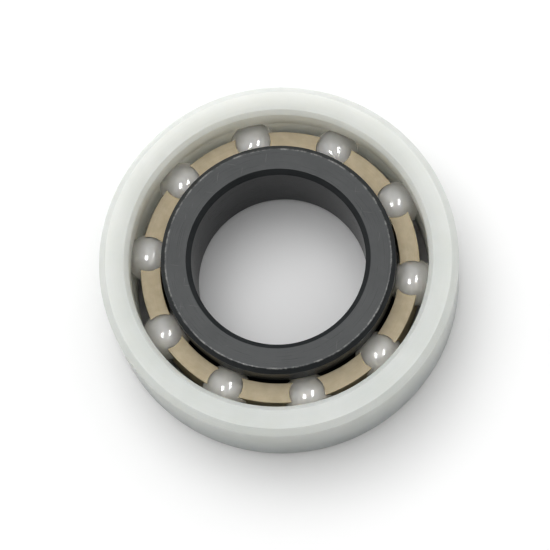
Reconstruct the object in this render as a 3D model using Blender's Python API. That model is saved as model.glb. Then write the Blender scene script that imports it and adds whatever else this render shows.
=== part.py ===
"""Open deep-groove ball bearing with an unlike pair of rings: a light outer ring, a dark inner ring,
ten balls and a one-piece snap-in crown cage. Boundary size 17 x 35 x 10 mm.

Metres, +Z along the bearing's axis. The origin is the centre of the bearing, on the axis and half way
through its width. The open side of the cage faces +Z, and ball_01 sits on +Y.
"""

from math import asin, cos, pi, radians, sin, sqrt

import bmesh
import bpy
from mathutils import Matrix, Vector

MM = 0.001

# Boundary dimensions
BORE_DIAMETER = 17.0 * MM
OUTSIDE_DIAMETER = 35.0 * MM
WIDTH = 10.0 * MM

# Balls and the grooves that they run in
BALL_DIAMETER = 4.7625 * MM
BALL_COUNT = 10
FIRST_BALL_ANGLE = radians(90)
GROOVE_OPENNESS = 0.095 * MM  # groove radius less ball radius
RACE_CLEARANCE = 0.05 * MM  # ball to the bottom of either groove

# Shoulders beside the grooves, measured from the ball centres' circle
INNER_SHOULDER_DROP = 1.55 * MM
OUTER_SHOULDER_RISE = 1.60 * MM

# Edges of the rings
OUTSIDE_CHAMFER = 0.65 * MM
BORE_CHAMFER = 0.50 * MM
SHOULDER_CHAMFER = 0.45 * MM

# Cage
CAGE_RING_CLEARANCE = 0.30 * MM  # cage bore to the inner ring's shoulder
CAGE_WALL = 1.95 * MM
CAGE_EDGE_CHAMFER = 0.12 * MM
POCKET_CLEARANCE = 0.10 * MM  # pocket wall to ball
POCKET_WRAP = radians(46.5)  # how far past the ball's equator the pocket reaches
POCKET_FLOOR = 0.90 * MM  # cage material behind each ball

# Fineness of the facets
RING_SEGMENTS = 80
GROOVE_STEPS = 10
BALL_SEGMENTS = 20
BALL_ROWS = 12
POCKET_SEGMENTS = 20
POCKET_ROWS = 12

# Worked out from the values above
BORE_RADIUS = BORE_DIAMETER / 2
OUTSIDE_RADIUS = OUTSIDE_DIAMETER / 2
HALF_WIDTH = WIDTH / 2
BALL_RADIUS = BALL_DIAMETER / 2
PITCH_RADIUS = (BORE_RADIUS + OUTSIDE_RADIUS) / 2
GROOVE_RADIUS = BALL_RADIUS + GROOVE_OPENNESS
INNER_SHOULDER_RADIUS = PITCH_RADIUS - INNER_SHOULDER_DROP
OUTER_SHOULDER_RADIUS = PITCH_RADIUS + OUTER_SHOULDER_RISE
POCKET_RADIUS = BALL_RADIUS + POCKET_CLEARANCE
CAGE_BORE_RADIUS = INNER_SHOULDER_RADIUS + CAGE_RING_CLEARANCE
CAGE_OUTSIDE_RADIUS = CAGE_BORE_RADIUS + CAGE_WALL
CAGE_TOP = POCKET_RADIUS * sin(POCKET_WRAP)
CAGE_BOTTOM = -(POCKET_RADIUS + POCKET_FLOOR)


def clear_scene():
    for obj in list(bpy.data.objects):
        bpy.data.objects.remove(obj, do_unlink=True)


def material(name, colour, roughness, transmission=0.0):
    made = bpy.data.materials.new(name)
    made.use_nodes = True
    shader = made.node_tree.nodes["Principled BSDF"]
    shader.inputs["Base Color"].default_value = (*colour, 1.0)
    shader.inputs["Roughness"].default_value = roughness
    shader.inputs["Metallic"].default_value = 0.0
    shader.inputs["Transmission Weight"].default_value = transmission
    made.diffuse_color = (*colour, 1.0)
    return made


def new_object(name, bm, surface):
    """Turn a bmesh into an object, shaded smooth apart from its sharp edges."""
    bmesh.ops.recalc_face_normals(bm, faces=bm.faces)
    mesh = bpy.data.meshes.new(name)
    bm.to_mesh(mesh)
    bm.free()
    mesh.materials.append(surface)
    mesh.shade_smooth()
    mesh.set_sharp_from_angle(angle=radians(30))
    obj = bpy.data.objects.new(name, mesh)
    bpy.context.scene.collection.objects.link(obj)
    return obj


def turned_solid(outline):
    """Spin a closed outline of (radius, height) points about the Z axis."""
    bm = bmesh.new()
    points = [bm.verts.new((radius, 0.0, height)) for radius, height in outline]
    sides = [bm.edges.new((points[i - 1], points[i])) for i in range(len(points))]
    bmesh.ops.spin(
        bm,
        geom=points + sides,
        cent=(0, 0, 0),
        axis=(0, 0, 1),
        angle=2 * pi,
        steps=RING_SEGMENTS,
        use_merge=True,
    )
    return bm


def arc(centre, radius, start, end, steps):
    """Points on a circle in the (radius, height) plane, both ends included."""
    turns = [start + (end - start) * i / steps for i in range(steps + 1)]
    return [(centre[0] + radius * cos(t), centre[1] + radius * sin(t)) for t in turns]


def groove(centre_radius, shoulder_radius, bottom_side):
    """The raceway from its lower shoulder edge to its upper one. bottom_side is +1 where the groove's
    bottom lies outside its centre, as in the outer ring, and -1 where it lies inside."""
    reach = sqrt(GROOVE_RADIUS**2 - (shoulder_radius - centre_radius) ** 2)
    half_angle = asin(reach / GROOVE_RADIUS)
    middle = 0.0 if bottom_side > 0 else pi
    start = middle - bottom_side * half_angle
    end = middle + bottom_side * half_angle
    return arc((centre_radius, 0.0), GROOVE_RADIUS, start, end, GROOVE_STEPS)


def outer_ring_outline():
    shoulder = OUTER_SHOULDER_RADIUS
    groove_centre = PITCH_RADIUS + BALL_RADIUS + RACE_CLEARANCE - GROOVE_RADIUS
    lower_face = [
        (shoulder, -HALF_WIDTH + SHOULDER_CHAMFER),
        (shoulder + SHOULDER_CHAMFER, -HALF_WIDTH),
        (OUTSIDE_RADIUS - OUTSIDE_CHAMFER, -HALF_WIDTH),
    ]
    outside_edges = [
        (OUTSIDE_RADIUS, -HALF_WIDTH + OUTSIDE_CHAMFER),
        (OUTSIDE_RADIUS, HALF_WIDTH - OUTSIDE_CHAMFER),
    ]
    upper_face = [
        (OUTSIDE_RADIUS - OUTSIDE_CHAMFER, HALF_WIDTH),
        (shoulder + SHOULDER_CHAMFER, HALF_WIDTH),
        (shoulder, HALF_WIDTH - SHOULDER_CHAMFER),
    ]
    raceway = groove(groove_centre, shoulder, +1)
    return outside_edges + upper_face + raceway[::-1] + lower_face


def inner_ring_outline():
    shoulder = INNER_SHOULDER_RADIUS
    groove_centre = PITCH_RADIUS - BALL_RADIUS - RACE_CLEARANCE + GROOVE_RADIUS
    bore_edges = [
        (BORE_RADIUS, HALF_WIDTH - BORE_CHAMFER),
        (BORE_RADIUS, -HALF_WIDTH + BORE_CHAMFER),
    ]
    lower_face = [
        (BORE_RADIUS + BORE_CHAMFER, -HALF_WIDTH),
        (shoulder - SHOULDER_CHAMFER, -HALF_WIDTH),
        (shoulder, -HALF_WIDTH + SHOULDER_CHAMFER),
    ]
    upper_face = [
        (shoulder, HALF_WIDTH - SHOULDER_CHAMFER),
        (shoulder - SHOULDER_CHAMFER, HALF_WIDTH),
        (BORE_RADIUS + BORE_CHAMFER, HALF_WIDTH),
    ]
    raceway = groove(groove_centre, shoulder, -1)
    return bore_edges + lower_face + raceway + upper_face


def cage_outline():
    inner, outer, edge = CAGE_BORE_RADIUS, CAGE_OUTSIDE_RADIUS, CAGE_EDGE_CHAMFER
    return [
        (inner, CAGE_BOTTOM + edge),
        (inner + edge, CAGE_BOTTOM),
        (outer - edge, CAGE_BOTTOM),
        (outer, CAGE_BOTTOM + edge),
        (outer, CAGE_TOP - edge),
        (outer - edge, CAGE_TOP),
        (inner + edge, CAGE_TOP),
        (inner, CAGE_TOP - edge),
    ]


def ball_centre(index):
    """Centre of ball number index, counted from 0 and clockwise as seen from +Z."""
    angle = FIRST_BALL_ANGLE - 2 * pi * index / BALL_COUNT
    return Vector((PITCH_RADIUS * cos(angle), PITCH_RADIUS * sin(angle), 0.0))


def pocket_cutter(surface):
    """Ten spheres, one on each ball centre, that hollow the cage's pockets."""
    bm = bmesh.new()
    for index in range(BALL_COUNT):
        place = Matrix.Translation(ball_centre(index))
        turn = Matrix.Rotation(FIRST_BALL_ANGLE - 2 * pi * index / BALL_COUNT, 4, "Z")
        bmesh.ops.create_uvsphere(
            bm,
            u_segments=POCKET_SEGMENTS,
            v_segments=POCKET_ROWS,
            radius=POCKET_RADIUS,
            matrix=place @ turn,
        )
    cutter = new_object("pocket_cutter", bm, surface)
    cutter.hide_render = True
    cutter.display_type = "WIRE"
    return cutter


def add_cage(surface):
    cage = new_object("cage", turned_solid(cage_outline()), surface)
    pockets = cage.modifiers.new("pockets", "BOOLEAN")
    pockets.operation = "DIFFERENCE"
    pockets.solver = "EXACT"
    pockets.object = pocket_cutter(surface)


def add_balls(surface):
    """Ten objects that share one sphere mesh, each with its origin at its own centre."""
    bm = bmesh.new()
    bmesh.ops.create_uvsphere(bm, u_segments=BALL_SEGMENTS, v_segments=BALL_ROWS, radius=BALL_RADIUS)
    first = new_object("ball_01", bm, surface)
    first.location = ball_centre(0)
    for index in range(1, BALL_COUNT):
        ball = bpy.data.objects.new(f"ball_{index + 1:02d}", first.data)
        ball.location = ball_centre(index)
        bpy.context.scene.collection.objects.link(ball)


def main():
    clear_scene()
    white = material("milk_white_polymer", (0.78, 0.79, 0.77), 0.45)
    grey = material("dark_grey_ceramic", (0.10, 0.105, 0.11), 0.38)
    tan = material("tan_polymer", (0.42, 0.31, 0.19), 0.55)
    glass = material("smoky_glass", (0.42, 0.42, 0.40), 0.06, transmission=0.4)
    new_object("outer_ring", turned_solid(outer_ring_outline()), white)
    new_object("inner_ring", turned_solid(inner_ring_outline()), grey)
    add_cage(tan)
    add_balls(glass)


main()
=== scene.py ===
import math

import bmesh
import bpy
import numpy as np
from mathutils import Matrix, Vector


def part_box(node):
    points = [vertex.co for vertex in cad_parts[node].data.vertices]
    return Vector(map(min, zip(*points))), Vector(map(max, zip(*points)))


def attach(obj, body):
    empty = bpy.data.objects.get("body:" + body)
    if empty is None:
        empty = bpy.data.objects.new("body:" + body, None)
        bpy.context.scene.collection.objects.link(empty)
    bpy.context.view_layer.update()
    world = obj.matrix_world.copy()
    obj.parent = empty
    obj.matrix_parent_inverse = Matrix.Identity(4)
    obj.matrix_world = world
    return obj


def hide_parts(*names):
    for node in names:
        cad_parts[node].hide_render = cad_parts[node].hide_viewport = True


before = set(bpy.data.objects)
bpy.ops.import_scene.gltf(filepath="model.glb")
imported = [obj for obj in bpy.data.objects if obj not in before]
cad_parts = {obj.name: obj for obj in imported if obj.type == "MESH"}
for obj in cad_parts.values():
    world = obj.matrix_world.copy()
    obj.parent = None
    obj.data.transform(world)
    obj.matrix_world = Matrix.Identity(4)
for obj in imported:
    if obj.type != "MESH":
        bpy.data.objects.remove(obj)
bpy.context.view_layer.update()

MM = 0.001

# Camera: where it stands round the bearing's centre, and how far off centre it looks
CAMERA_AZIMUTH = math.radians(1.6)
CAMERA_ELEVATION = math.radians(75.55)
CAMERA_ROLL = math.radians(13.8)
CAMERA_DISTANCE = 280.9 * MM
CAMERA_SHIFT_RIGHT = 0.58 * MM
CAMERA_SHIFT_UP = 0.46 * MM
LENS = 186.5
SENSOR = 36.0

# Light. A ceiling lamp is given by the (x, y) of its two ends.
SKY_TILT = 0.45
SKY_LOW = 0.05
SKY_HIGH = 0.83
SKY_DARK_BELOW = -0.40
SKY_BRIGHT_ABOVE = 0.95
KEY_PLACE = (-0.15, 0.42, 1.15)
KEY_SIZE = 0.9
KEY_POWER = 4.6
LAMP_HEIGHT = 1.0
LAMP_WIDTH = 0.22
LAMP_POWER = 5.0
LEFT_LAMP = ((-0.36, -0.35), (-0.24, 0.05))
RIGHT_LAMP = ((0.35, -0.28), (0.51, 0.22))

# Floor
FLOOR_RADIUS = 3.0
FLOOR_SEGMENTS = 64

# Colours: a pair is the two that a material drifts between
WHITE = ((0.505, 0.524, 0.494, 1), (0.540, 0.554, 0.528, 1))
GROUND_GREY = ((0.038, 0.041, 0.043, 1), (0.048, 0.051, 0.053, 1))
# Lighter grey for the flat faces: painted light, standing in for the overhead light they catch
PAINTED_LIGHT_FACE_GREY = ((0.078, 0.081, 0.082, 1), (0.088, 0.091, 0.092, 1))
# Lighter grey for the hairline scratches, and for a painted highlight along the face rims
SCRATCH_AND_GLINT_GREY = (0.30, 0.30, 0.29, 1)
TAN = ((0.405, 0.343, 0.235, 1), (0.475, 0.410, 0.290, 1))
SMOKE = ((0.92, 0.895, 0.83, 1), (0.96, 0.94, 0.88, 1))
PALE = (0.80, 0.80, 0.80, 1)

# Noise mostly lies between these two values, so a material uses its full range between them
NOISE_LOW = 0.3
NOISE_HIGH = 0.7
CLOUD_SHARE = 0.7  # how much of a tone is clouding, and the rest is tool marks

# Inner ring's painted rim highlight, hairline scratches and painted-light face grey, in mm and shares
RIM_GLINT_REACH = 0.16
RIM_GLINT_SHARE = 0.75
SCRATCH_SHARE = 0.25
SCRATCH_SETS = ((0.35, 13.0), (1.9, 11.0))  # direction in radians, and how close together
SCRATCH_LENGTHWAYS = 0.45
FACE_STARTS = 0.05  # this far under a flat face the bore's grey starts to change to the face's lighter grey, which is painted light
FACE_FULL = 0.01

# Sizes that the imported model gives
BALLS = [f"ball_{number:02d}" for number in range(1, 11)]
FIRST_BALL_LOW, FIRST_BALL_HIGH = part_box(BALLS[0])
BALL_RADIUS = (FIRST_BALL_HIGH.z - FIRST_BALL_LOW.z) / 2
PITCH_RADIUS = ((FIRST_BALL_LOW + FIRST_BALL_HIGH) / 2).length
HALF_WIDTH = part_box("outer_ring")[1].z


def radii(node):
    """Least and greatest distance of a CAD node's points from the bearing's axis."""
    found = [math.hypot(v.co.x, v.co.y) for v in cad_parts[node].data.vertices]
    return min(found), max(found)


OUTER_SHOULDER, OUTSIDE = radii("outer_ring")
BORE, INNER_SHOULDER = radii("inner_ring")
CAGE_INSIDE, CAGE_OUTSIDE = radii("cage")
CAGE_LOW, CAGE_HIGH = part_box("cage")[0].z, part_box("cage")[1].z

# Shape details, the same as the CAD's
GROOVE_OPENNESS = 0.095 * MM
RACE_CLEARANCE = 0.05 * MM
POCKET_CLEARANCE = 0.10 * MM
OUTSIDE_CHAMFER = 0.65 * MM
BORE_CHAMFER = 0.50 * MM
SHOULDER_CHAMFER = 0.45 * MM

# Finish of the edges
RING_EDGE = 0.045 * MM
INNER_RING_RIM = 0.13 * MM
BORE_EDGE = 0.17 * MM
SUPPORT = 0.02 * MM
CAGE_EDGE = 0.07 * MM
CAGE_EDGE_STEPS = 2
CAGE_EDGE_ANGLE = math.radians(40)

# Fineness
TURNS = 256
EDGE_STEPS = 3
GROOVE_STEPS = 24
BALL_SEGMENTS = 72
BALL_ROWS = 40

# The cage's patches: steps down a pocket's side, round its floor, along a wall and outwards
SIDE_STEPS = 14
FLOOR_STEPS = 12
WALL_STEPS = 8
RADIAL_STEPS = 12
POCKET = BALL_RADIUS + POCKET_CLEARANCE
POCKET_SPLIT = math.radians(38)  # this far below level a pocket's side ends and its floor starts
WELD = 0.0002 * MM


# ---------------------------------------------------------------- node helpers


class Nodes:
    """A short way to add and join shader nodes."""

    def __init__(self, tree):
        self.tree = tree

    def add(self, kind, **settings):
        node = self.tree.nodes.new(kind)
        for name, value in settings.items():
            setattr(node, name, value)
        return node

    def put(self, value, socket):
        """Give a socket a plain value, or join it to another socket."""
        if isinstance(value, bpy.types.NodeSocket):
            self.tree.links.new(value, socket)
        elif value is not None:
            socket.default_value = value

    def maths(self, operation, first, second=None):
        node = self.add("ShaderNodeMath", operation=operation)
        for value, socket in zip((first, second), node.inputs):
            self.put(value, socket)
        return node.outputs[0]

    def ramp(self, value, low, high, out_low=0.0, out_high=1.0):
        """Map low..high smoothly to out_low..out_high, held at the ends."""
        node = self.add("ShaderNodeMapRange", interpolation_type="SMOOTHSTEP")
        for item, socket in zip((value, low, high, out_low, out_high), node.inputs):
            self.put(item, socket)
        return node.outputs[0]

    def noise(self, vector, scale, detail, roughness):
        node = self.add("ShaderNodeTexNoise")
        self.put(vector, node.inputs["Vector"])
        self.put(scale, node.inputs["Scale"])
        self.put(detail, node.inputs["Detail"])
        self.put(roughness, node.inputs["Roughness"])
        return node.outputs["Fac"]

    def vector(self, x, y, z):
        node = self.add("ShaderNodeCombineXYZ")
        for value, socket in zip((x, y, z), node.inputs):
            self.put(value, socket)
        return node.outputs[0]

    def mix(self, share, first, second):
        node = self.add("ShaderNodeMixRGB")
        self.put(share, node.inputs["Fac"])
        self.put(first, node.inputs["Color1"])
        self.put(second, node.inputs["Color2"])
        return node.outputs["Color"]

    def bump(self, height, distance, strength):
        node = self.add("ShaderNodeBump")
        self.put(height, node.inputs["Height"])
        self.put(distance, node.inputs["Distance"])
        self.put(strength, node.inputs["Strength"])
        return node.outputs["Normal"]


def new_material(name):
    made = bpy.data.materials.new(name)
    made.use_nodes = True
    tree = made.node_tree
    shader = tree.nodes["Principled BSDF"]
    return made, Nodes(tree), shader.inputs


def place_in_mm(nodes):
    place = nodes.add("ShaderNodeTexCoord").outputs["Object"]
    scaled = nodes.add("ShaderNodeVectorMath", operation="SCALE")
    nodes.put(place, scaled.inputs[0])
    scaled.inputs["Scale"].default_value = 1 / MM
    return scaled.outputs[0]


def round_coordinates(nodes):
    """(position in mm, radius, angle, height) about the bearing's axis, in mm and radians."""
    place = place_in_mm(nodes)
    parts = nodes.add("ShaderNodeSeparateXYZ")
    nodes.put(place, parts.inputs[0])
    x, y, z = parts.outputs
    squares = nodes.maths("ADD", nodes.maths("MULTIPLY", x, x), nodes.maths("MULTIPLY", y, y))
    radius = nodes.maths("SQRT", squares)
    angle = nodes.maths("ARCTAN2", y, x)
    return place, radius, angle, z


# ---------------------------------------------------------------- materials


def lathe_marks(nodes, radius, angle, height, fineness, stretch):
    """Noise drawn out round the axis, as a tool leaves it. fineness is marks per mm."""
    across = nodes.maths("MULTIPLY", radius, fineness)
    along = nodes.maths("MULTIPLY", angle, stretch)
    up = nodes.maths("MULTIPLY", height, fineness)
    return nodes.noise(nodes.vector(across, along, up), scale=1.0, detail=3.0, roughness=0.6)


def blended_tone(nodes, cloud, marks):
    """Clouding and tool marks in one value, spread over 0 to 1."""
    clouding = nodes.maths("MULTIPLY", cloud, CLOUD_SHARE)
    tooling = nodes.maths("MULTIPLY", marks, 1 - CLOUD_SHARE)
    return nodes.ramp(nodes.maths("ADD", clouding, tooling), NOISE_LOW, NOISE_HIGH)


def white_ring_material():
    """Milky white plastic that light spreads far inside, with faint turning marks and slight mottling."""
    made, nodes, sockets = new_material("milky_white_satin")
    place, radius, angle, height = round_coordinates(nodes)
    mottle = nodes.noise(place, scale=0.22, detail=3.0, roughness=0.55)
    marks = lathe_marks(nodes, radius, angle, height, fineness=9.0, stretch=0.8)
    nodes.put(nodes.mix(blended_tone(nodes, mottle, marks), *WHITE), sockets["Base Color"])
    nodes.put(nodes.ramp(marks, NOISE_LOW, NOISE_HIGH, 0.50, 0.62), sockets["Roughness"])
    sockets["Subsurface Weight"].default_value = 0.75
    sockets["Subsurface Radius"].default_value = (1.0, 0.92, 0.80)
    sockets["Subsurface Scale"].default_value = 18.0 * MM
    sockets["IOR"].default_value = 1.40
    nodes.put(nodes.bump(marks, distance=0.004 * MM, strength=0.6), sockets["Normal"])
    return made


def near_edge(nodes, radius, height, edge_radius, edge_height, reach):
    """1 on the round edges at this radius and height, above and below, fading to 0 at reach (mm)."""
    out = nodes.maths("SUBTRACT", radius, edge_radius / MM)
    up = nodes.maths("SUBTRACT", nodes.maths("ABSOLUTE", height), edge_height / MM)
    squares = nodes.maths("ADD", nodes.maths("MULTIPLY", out, out), nodes.maths("MULTIPLY", up, up))
    return nodes.ramp(nodes.maths("SQRT", squares), 0.25 * reach, reach, 1.0, 0.0)


def scratches(nodes, place, turn, closeness):
    """Short, straight, hairline scratches that all run one way in the bearing's plane."""
    spin = nodes.add("ShaderNodeVectorRotate", rotation_type="Z_AXIS")
    nodes.put(place, spin.inputs["Vector"])
    spin.inputs["Angle"].default_value = turn
    stretch = nodes.add("ShaderNodeVectorMath", operation="MULTIPLY")
    nodes.put(spin.outputs[0], stretch.inputs[0])
    stretch.inputs[1].default_value = (SCRATCH_LENGTHWAYS, closeness, SCRATCH_LENGTHWAYS)
    lines = nodes.noise(stretch.outputs[0], scale=1.0, detail=1.0, roughness=0.3)
    return nodes.ramp(lines, 0.75, 0.79)


def grey_ring_material():
    """Dark grey ceramic ground to a satin. Its flat faces are painted a lighter grey that stands in for the
    light they catch from overhead, with a few hairline scratches, and the outer edges of the faces carry a
    patchy painted highlight."""
    made, nodes, sockets = new_material("dark_grey_ground")
    place, radius, angle, height = round_coordinates(nodes)
    mottle = nodes.noise(place, scale=0.5, detail=3.0, roughness=0.6)
    marks = lathe_marks(nodes, radius, angle, height, fineness=14.0, stretch=2.0)
    tone = blended_tone(nodes, mottle, marks)
    face = HALF_WIDTH / MM
    on_face = nodes.ramp(nodes.maths("ABSOLUTE", height), face - FACE_STARTS, face - FACE_FULL)
    # The flat faces take the lighter grey: painted light for the overhead light they catch
    surface = nodes.mix(on_face, nodes.mix(tone, *GROUND_GREY), nodes.mix(tone, *PAINTED_LIGHT_FACE_GREY))
    # Painted highlight: a patchy lighter grey along the rim between face and outer chamfer, standing in for
    # the edge's glint
    rim = near_edge(nodes, radius, height, INNER_SHOULDER - SHOULDER_CHAMFER, HALF_WIDTH, RIM_GLINT_REACH)
    rim_glint_patches = nodes.ramp(nodes.noise(place, scale=1.1, detail=4.0, roughness=0.75), 0.42, 0.66)
    painted_rim_glint = nodes.maths("MULTIPLY", rim, nodes.maths("MULTIPLY", rim_glint_patches, RIM_GLINT_SHARE))
    lines = nodes.maths("MAXIMUM", *(scratches(nodes, place, *values) for values in SCRATCH_SETS))
    scratched = nodes.maths("MULTIPLY", lines, nodes.maths("MULTIPLY", on_face, SCRATCH_SHARE))
    scratches_and_rim_glint = nodes.maths("MAXIMUM", painted_rim_glint, scratched)
    nodes.put(nodes.mix(scratches_and_rim_glint, surface, SCRATCH_AND_GLINT_GREY), sockets["Base Color"])
    nodes.put(nodes.ramp(marks, NOISE_LOW, NOISE_HIGH, 0.27, 0.31), sockets["Roughness"])
    sockets["IOR"].default_value = 1.38
    nodes.put(nodes.bump(marks, distance=0.002 * MM, strength=0.4), sockets["Normal"])
    return made


def cage_material():
    """Tan machined polymer: matte, slightly cloudy, with fine tool marks that run round the axis."""
    made, nodes, sockets = new_material("tan_machined_polymer")
    place, radius, angle, height = round_coordinates(nodes)
    cloud = nodes.noise(place, scale=0.9, detail=3.0, roughness=0.55)
    marks = lathe_marks(nodes, radius, angle, height, fineness=11.0, stretch=4.0)
    nodes.put(nodes.mix(blended_tone(nodes, cloud, marks), *TAN), sockets["Base Color"])
    nodes.put(nodes.ramp(marks, NOISE_LOW, NOISE_HIGH, 0.50, 0.62), sockets["Roughness"])
    sockets["Subsurface Weight"].default_value = 0.3
    sockets["Subsurface Radius"].default_value = (1.0, 0.75, 0.45)
    sockets["Subsurface Scale"].default_value = 0.6 * MM
    nodes.put(nodes.bump(marks, distance=0.006 * MM, strength=0.6), sockets["Normal"])
    return made


def glass_material():
    """Smoky, hazy glass under a polished skin."""
    made, nodes, sockets = new_material("smoky_glass")
    cloud = nodes.noise(place_in_mm(nodes), scale=1.4, detail=2.0, roughness=0.5)
    colour = nodes.mix(nodes.ramp(cloud, NOISE_LOW, NOISE_HIGH), *SMOKE)
    nodes.put(colour, sockets["Base Color"])
    sockets["Roughness"].default_value = 0.6
    sockets["IOR"].default_value = 1.52
    sockets["Transmission Weight"].default_value = 0.55
    sockets["Coat Weight"].default_value = 1.0
    sockets["Coat Roughness"].default_value = 0.03
    sockets["Coat IOR"].default_value = 1.6
    sockets["Subsurface Weight"].default_value = 1.0
    sockets["Subsurface Radius"].default_value = (1.0, 1.0, 0.95)
    sockets["Subsurface Scale"].default_value = 4.0 * MM
    return made


def floor_material():
    made, _, sockets = new_material("pale_floor")
    sockets["Base Color"].default_value = PALE
    sockets["Roughness"].default_value = 0.9
    sockets["Specular IOR Level"].default_value = 0.1
    return made


# ---------------------------------------------------------------- meshes


def smooth_mesh(name, bm, surface):
    bmesh.ops.recalc_face_normals(bm, faces=bm.faces)
    mesh = bpy.data.meshes.new(name)
    bm.to_mesh(mesh)
    bm.free()
    mesh.materials.append(surface)
    mesh.shade_smooth()
    return mesh


def linked_object(name, data):
    made = bpy.data.objects.new(name, data)
    bpy.context.scene.collection.objects.link(made)
    return made


def mesh_object(name, bm, surface):
    return linked_object(name, smooth_mesh(name, bm, surface))


def round_point(radius, angle, height):
    return (radius * math.cos(angle), radius * math.sin(angle), height)


def eased(corner, before, after, radius):
    """A sharp corner turned into a small arc that touches both its sides, with a support point on each
    side of the arc to keep the flats flat."""
    corner, before, after = (np.array(p) for p in (corner, before, after))
    back = (before - corner) / np.linalg.norm(before - corner)
    on = (after - corner) / np.linalg.norm(after - corner)
    half = math.acos(np.clip(back @ on, -1, 1)) / 2
    reach = radius / math.tan(half)
    centre = corner + (back + on) / np.linalg.norm(back + on) * radius / math.sin(half)
    start, end = corner + back * reach - centre, corner + on * reach - centre
    turn = math.atan2(start[0] * end[1] - start[1] * end[0], start @ end)
    angles = [turn * step / EDGE_STEPS for step in range(EDGE_STEPS + 1)]
    arc = [(centre[0] + start[0] * math.cos(a) - start[1] * math.sin(a),
            centre[1] + start[0] * math.sin(a) + start[1] * math.cos(a)) for a in angles]
    return [tuple(corner + back * (reach + SUPPORT)), *arc, tuple(corner + on * (reach + SUPPORT))]


def ring(name, corners, groove_points, surface):
    """Turn a ring. corners are the (radius, height, edge radius) points of its outline from one end of its
    groove round to the other, and groove_points the points between."""
    outline = []
    whole = [groove_points[-2], *(corner[:2] for corner in corners), groove_points[1]]
    for before, corner, after, (_, _, edge) in zip(whole, whole[1:], whole[2:], corners):
        outline += eased(corner, before, after, edge)
    outline += groove_points[1:-1]
    bm = bmesh.new()
    rows = []
    for turn in range(TURNS):
        angle = 2 * math.pi * turn / TURNS
        rows.append([bm.verts.new(round_point(r, angle, z)) for r, z in outline])
    for this, after in zip(rows, rows[1:] + rows[:1]):
        for i in range(len(outline)):
            bm.faces.new((this[i - 1], this[i], after[i], after[i - 1]))
    return mesh_object(name, bm, surface)


def groove(shoulder, side):
    """Points of the ball groove from one shoulder edge to the other. side is +1 on the outer ring and -1
    on the inner."""
    radius = BALL_RADIUS + GROOVE_OPENNESS
    centre = PITCH_RADIUS + side * (BALL_RADIUS + RACE_CLEARANCE - radius)
    half = math.acos(abs(shoulder - centre) / radius)
    angles = [side * half * (1 - 2 * step / GROOVE_STEPS) for step in range(GROOVE_STEPS + 1)]
    middle = 0.0 if side > 0 else math.pi
    return [(centre + radius * math.cos(middle + a), radius * math.sin(middle + a)) for a in angles]


def mirrored(corners):
    return [(radius, -height, edge) for radius, height, edge in reversed(corners)]


def outer_ring(surface):
    """The lower half's corners, from the groove down and out, then the same mirrored for the upper half."""
    points = groove(OUTER_SHOULDER, 1)
    lower = [
        (*points[-1], RING_EDGE),
        (OUTER_SHOULDER, SHOULDER_CHAMFER - HALF_WIDTH, RING_EDGE),
        (OUTER_SHOULDER + SHOULDER_CHAMFER, -HALF_WIDTH, RING_EDGE),
        (OUTSIDE - OUTSIDE_CHAMFER, -HALF_WIDTH, RING_EDGE),
        (OUTSIDE, OUTSIDE_CHAMFER - HALF_WIDTH, RING_EDGE),
    ]
    return ring("outer_ring_turned", lower + mirrored(lower), points, surface)


def inner_ring(surface):
    """Its corners, laid out as the outer ring's are, from the groove down and in."""
    points = groove(INNER_SHOULDER, -1)
    lower = [
        (*points[-1], RING_EDGE),
        (INNER_SHOULDER, SHOULDER_CHAMFER - HALF_WIDTH, RING_EDGE),
        (INNER_SHOULDER - SHOULDER_CHAMFER, -HALF_WIDTH, INNER_RING_RIM),
        (BORE + BORE_CHAMFER, -HALF_WIDTH, RING_EDGE),
        (BORE, BORE_CHAMFER - HALF_WIDTH, BORE_EDGE),
    ]
    return ring("inner_ring_ground", lower + mirrored(lower), points, surface)


def glass_ball(node, mesh):
    low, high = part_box(node)
    made = linked_object(f"glass_{node}", mesh)
    made.location = (low + high) / 2
    return made


def glass_balls(surface):
    """Ten objects that share one sphere mesh."""
    bm = bmesh.new()
    bmesh.ops.create_uvsphere(bm, u_segments=BALL_SEGMENTS, v_segments=BALL_ROWS, radius=BALL_RADIUS)
    mesh = smooth_mesh("pattern_ball", bm, surface)
    return [glass_ball(node, mesh) for node in BALLS]


# ---- the cage, laid out in patches round one ball and repeated


def pocket_reach(radius):
    """Distance from a pocket's centre to its wall, as seen at this distance from the bearing's axis."""
    return math.sqrt(POCKET**2 - (radius - PITCH_RADIUS) ** 2)


def pocket_point(radius, turn):
    """(radius, angle, height) of a point on the pocket's wall. turn is 0 level with the ball's centre on the
    anticlockwise side, and a quarter turn at the top."""
    reach = pocket_reach(radius)
    angle = 2 * math.asin(reach * math.cos(turn) / (2 * math.sqrt(radius * PITCH_RADIUS)))
    return radius, angle, reach * math.sin(turn)


def rim_turn(radius):
    """The turn at which the pocket's wall meets the cage's top face."""
    return math.asin(CAGE_HIGH / pocket_reach(radius))


def spread(start, end, steps):
    return [start + (end - start) * step / steps for step in range(steps + 1)]


def row_between(start, end):
    """A row of (radius, angle, height) points from start to end, which lie at one radius."""
    angles = spread(start[1], end[1], WALL_STEPS)
    heights = spread(start[2], end[2], WALL_STEPS)
    return [(start[0], angle, height) for angle, height in zip(angles, heights)]


def side_turns(radius):
    return spread(rim_turn(radius), -POCKET_SPLIT, SIDE_STEPS)


def top_row(radius, half):
    rim_angle = pocket_point(radius, rim_turn(radius))[1]
    return row_between((radius, rim_angle, CAGE_HIGH), (radius, half, CAGE_HIGH))


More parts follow.
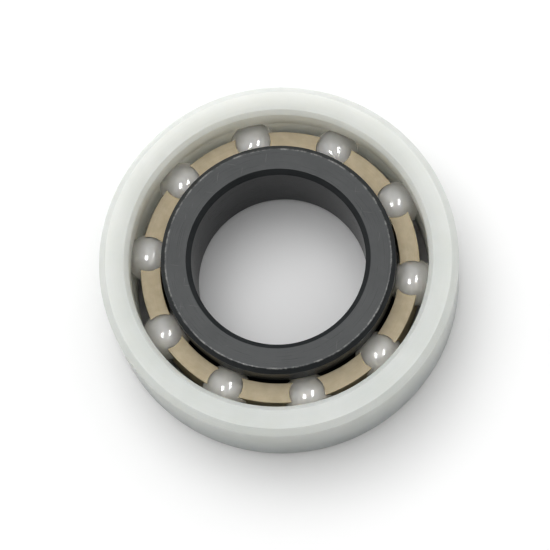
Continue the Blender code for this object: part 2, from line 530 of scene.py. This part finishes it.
def cage_patches():
    """Grids of (radius, angle, height) that close the cage over the half space of one pocket: from the
    ball's centre plane to the middle of the post beside it."""
    half = math.pi / len(BALLS)
    radial = spread(CAGE_INSIDE, CAGE_OUTSIDE, RADIAL_STEPS)
    post_heights = spread(CAGE_HIGH, CAGE_LOW, SIDE_STEPS)
    floor_turns = spread(-POCKET_SPLIT, -math.pi / 2, FLOOR_STEPS)
    floor_angles = spread(half, 0.0, FLOOR_STEPS)
    patches = [
        [[pocket_point(r, turn) for turn in side_turns(r)] for r in radial],
        [[pocket_point(r, turn) for turn in floor_turns] for r in radial],
        [top_row(r, half) for r in radial],
        [[(r, angle, CAGE_LOW) for angle in floor_angles] for r in radial],
    ]
    for r in (CAGE_INSIDE, CAGE_OUTSIDE):
        post_ends = [(r, half, height) for height in post_heights]
        web_ends = [(r, angle, CAGE_LOW) for angle in floor_angles]
        post = [row_between(pocket_point(r, turn), end) for turn, end in zip(side_turns(r), post_ends)]
        web = [row_between(pocket_point(r, turn), end) for turn, end in zip(floor_turns, web_ends)]
        patches += [post, web]
    return patches


def add_patch(bm, patch, middle, side):
    """One patch laid beside the pocket at angle middle. side is +1 anticlockwise of it, and -1 clockwise."""
    rows = []
    for row in patch:
        rows.append([bm.verts.new(round_point(r, middle + side * angle, z)) for r, angle, z in row])
    for this, after in zip(rows, rows[1:]):
        for i in range(1, len(this)):
            bm.faces.new((this[i - 1], this[i], after[i], after[i - 1]))


def crown_cage(surface):
    bm = bmesh.new()
    patches = cage_patches()
    for number in range(len(BALLS)):
        middle = math.pi / 2 - 2 * math.pi * number / len(BALLS)
        for side in (1, -1):
            for patch in patches:
                add_patch(bm, patch, middle, side)
    bmesh.ops.remove_doubles(bm, verts=bm.verts, dist=WELD)
    made = mesh_object("crown_cage", bm, surface)
    bevel = made.modifiers.new("eased_edges", "BEVEL")
    bevel.width = CAGE_EDGE
    bevel.segments = CAGE_EDGE_STEPS
    bevel.limit_method = "ANGLE"
    bevel.angle_limit = CAGE_EDGE_ANGLE
    bevel.harden_normals = True
    return made


# ---------------------------------------------------------------- stage


def add_camera():
    """It looks down at the bearing from the -Y side, turned by its roll and then by its azimuth."""
    right = Vector((1, 0, 0))
    up = Vector((0, math.sin(CAMERA_ELEVATION), math.cos(CAMERA_ELEVATION)))
    ahead = Vector((0, math.cos(CAMERA_ELEVATION), -math.sin(CAMERA_ELEVATION)))
    turned_right = right * math.cos(CAMERA_ROLL) - up * math.sin(CAMERA_ROLL)
    turned_up = right * math.sin(CAMERA_ROLL) + up * math.cos(CAMERA_ROLL)
    place = -(turned_right * CAMERA_SHIFT_RIGHT + turned_up * CAMERA_SHIFT_UP + ahead * CAMERA_DISTANCE)
    axes = Matrix((turned_right, turned_up, -ahead)).transposed().to_4x4()
    data = bpy.data.cameras.new("camera")
    data.sensor_width = SENSOR
    data.lens = LENS
    data.clip_start = 10 * MM
    data.clip_end = 10
    camera = linked_object("camera", data)
    camera.matrix_world = Matrix.Rotation(CAMERA_AZIMUTH, 4, "Z") @ Matrix.Translation(place) @ axes
    bpy.context.scene.camera = camera


def add_floor(surface):
    bm = bmesh.new()
    bmesh.ops.create_circle(bm, cap_ends=True, segments=FLOOR_SEGMENTS, radius=FLOOR_RADIUS)
    floor = mesh_object("floor", bm, surface)
    floor.location.z = -HALF_WIDTH


def add_area_light(name, place, size, power):
    """A rectangular lamp that faces the bearing."""
    data = bpy.data.lights.new(name, "AREA")
    data.shape = "RECTANGLE"
    data.size, data.size_y = size
    data.energy = power
    lamp = linked_object(name, data)
    lamp.location = place
    lamp.rotation_mode = "QUATERNION"
    lamp.rotation_quaternion = (-Vector(place)).to_track_quat("-Z", "Y")
    return lamp


def add_ceiling_lamp(name, near, far):
    """A long narrow lamp that faces straight down between two points, and only shows in reflections."""
    near, far = Vector((*near, LAMP_HEIGHT)), Vector((*far, LAMP_HEIGHT))
    middle = (near + far) / 2
    lamp = add_area_light(name, middle, (LAMP_WIDTH, (far - near).length), LAMP_POWER)
    along = (far - near).normalized()
    down = Vector((0, 0, -1))
    lamp.rotation_quaternion = Matrix((along.cross(-down), along, -down)).transposed().to_quaternion()
    lamp.visible_diffuse = False
    lamp.visible_transmission = False


def add_world():
    """A plain white sky, bright overhead and on the far side, and dark low down on the viewer's side."""
    world = bpy.data.worlds.new("studio")
    bpy.context.scene.world = world
    world.use_nodes = True
    nodes = Nodes(world.node_tree)
    background = world.node_tree.nodes["Background"]
    way = nodes.add("ShaderNodeTexCoord").outputs["Generated"]
    parts = nodes.add("ShaderNodeSeparateXYZ")
    nodes.put(way, parts.inputs[0])
    _, y, z = parts.outputs
    lift = nodes.maths("ADD", nodes.maths("MULTIPLY", y, SKY_TILT), z)
    strength = nodes.ramp(lift, SKY_DARK_BELOW, SKY_BRIGHT_ABOVE, SKY_LOW, SKY_HIGH)
    nodes.put(strength, background.inputs["Strength"])
    background.inputs["Color"].default_value = (1.0, 1.0, 1.0, 1)


add_camera()
bpy.context.scene.view_settings.view_transform = "Standard"
bpy.context.scene.view_settings.look = "High Contrast"
add_world()
add_area_light("key", KEY_PLACE, (KEY_SIZE, KEY_SIZE), KEY_POWER).visible_glossy = False
add_ceiling_lamp("lamp_left", *LEFT_LAMP)
add_ceiling_lamp("lamp_right", *RIGHT_LAMP)
add_floor(floor_material())

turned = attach(outer_ring(white_ring_material()), "outer_ring")
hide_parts("outer_ring")
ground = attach(inner_ring(grey_ring_material()), "inner_ring")
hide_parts("inner_ring")
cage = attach(crown_cage(cage_material()), "cage")
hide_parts("cage")
for node, ball in zip(BALLS, glass_balls(glass_material())):
    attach(ball, node)
    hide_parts(node)
